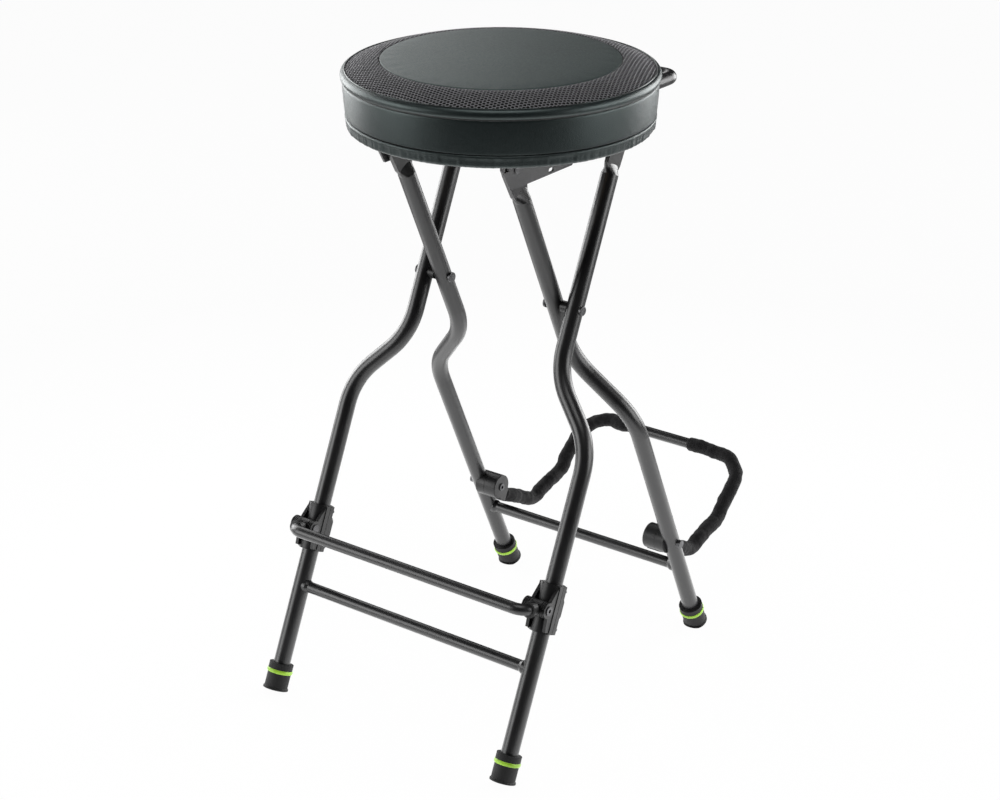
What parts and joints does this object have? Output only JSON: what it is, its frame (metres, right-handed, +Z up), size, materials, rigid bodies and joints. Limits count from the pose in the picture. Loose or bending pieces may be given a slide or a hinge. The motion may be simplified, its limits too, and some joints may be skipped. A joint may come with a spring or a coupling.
{
  "type": "folding stool",
  "caption": "Folding guitar stool: round padded seat on crossed bent-tube frames, with a folding footrest, a padded guitar yoke and a carry handle.",
  "frame": {"origin": "on the floor, at the centre of the stool's outline seen from above", "axes": "+Z up; -Y is the front, where the sitter's feet and the footrest are; +Y is the back, where the guitar yoke is; +X is to the right for a viewer who stands in front of the footrest and looks along +Y"},
  "size_m": [0.3496, 0.5762, 0.714],
  "materials": {
    "black_tube": "satin black powder coat on round steel tube",
    "black_plate": "satin black powder coat on bent sheet steel",
    "dark_fastener": "blackened steel screws, bolts and nuts",
    "foot_rubber": "matt moulded rubber",
    "lime_band": "lime green moulded band",
    "black_moulding": "matt black moulded plastic",
    "black_foam": "soft textured foam sleeve",
    "black_leather": "fine grained synthetic leather, soft sheen",
    "black_mesh": "open spacer mesh cloth",
    "cushion_foam": "upholstery foam",
    "plywood": "raw plywood"
  },
  "bodies": {
    "back_frame": {"back_leg_left": "black_tube", "back_leg_right": "black_tube", "back_cross_bar": "black_tube", "back_foot_left": "foot_rubber", "back_foot_right": "foot_rubber", "back_foot_ring_left": "lime_band", "back_foot_ring_right": "lime_band", "yoke_clamp_left": "black_moulding", "yoke_clamp_right": "black_moulding", "yoke_hinge_bolts": "dark_fastener", "yoke_hinge_nuts": "dark_fastener"},
    "front_frame": {"front_leg_left": "black_tube", "front_leg_right": "black_tube", "front_cross_bar": "black_tube", "front_foot_left": "foot_rubber", "front_foot_right": "foot_rubber", "front_foot_ring_left": "lime_band", "front_foot_ring_right": "lime_band", "seat_rest_pins": "dark_fastener", "main_pivot_bolts": "dark_fastener", "main_pivot_nuts": "dark_fastener", "main_pivot_spacers": "black_moulding", "footrest_clamp_front_left": "black_moulding", "footrest_clamp_front_right": "black_moulding", "footrest_clamp_back_left": "black_moulding", "footrest_clamp_back_right": "black_moulding", "footrest_clamp_screws": "dark_fastener", "footrest_hinge_bolts": "dark_fastener", "footrest_hinge_nuts": "dark_fastener"},
    "footrest": {"footrest_bar": "black_tube", "footrest_knuckle_left": "black_moulding", "footrest_knuckle_right": "black_moulding"},
    "guitar_yoke": {"yoke_bar": "black_tube", "yoke_sleeve_left": "black_foam", "yoke_sleeve_right": "black_foam", "yoke_knuckle_left": "black_moulding", "yoke_knuckle_right": "black_moulding"},
    "seat": {"seat_board": "plywood", "seat_foam": "cushion_foam", "seat_centre_panel": "black_leather", "seat_mesh_ring": "black_mesh", "seat_edge_roll": "black_leather", "seat_side_band": "black_leather", "seat_cover_skirt": "black_leather", "seat_pan": "black_plate", "seat_pan_screws": "dark_fastener", "seat_hinge_bolts": "dark_fastener", "seat_hinge_nuts": "dark_fastener", "seat_hinge_washers": "dark_fastener", "handle_bar": "black_tube", "handle_plugs": "black_moulding", "handle_clip_front": "black_plate", "handle_clip_rear": "black_plate", "handle_clip_screws": "dark_fastener"}
  },
  "joints": [
    {"name": "frame_fold", "type": "hinge", "parent": "back_frame", "child": "front_frame", "pos_m": [0, -0.06761, 0.456], "axis": [1, 0, 0], "range_deg": [0, 40]},
    {"name": "seat_tilt", "type": "hinge", "parent": "back_frame", "child": "seat", "pos_m": [0, -0.14616, 0.626], "axis": [1, 0, 0], "range_deg": [0, 110]},
    {"name": "footrest_fold", "type": "hinge", "parent": "front_frame", "child": "footrest", "pos_m": [0, -0.21433, 0.18435], "axis": [-1, 0, 0], "range_deg": [0, 78]},
    {"name": "guitar_yoke_fold", "type": "hinge", "parent": "back_frame", "child": "guitar_yoke", "pos_m": [0, 0.08163, 0.13302], "axis": [1, 0, 0], "range_deg": [0, 105]}
  ],
  "couplings": [
    {"joint": "seat_tilt", "follows": "frame_fold", "ratio": 2.75}
  ]
}
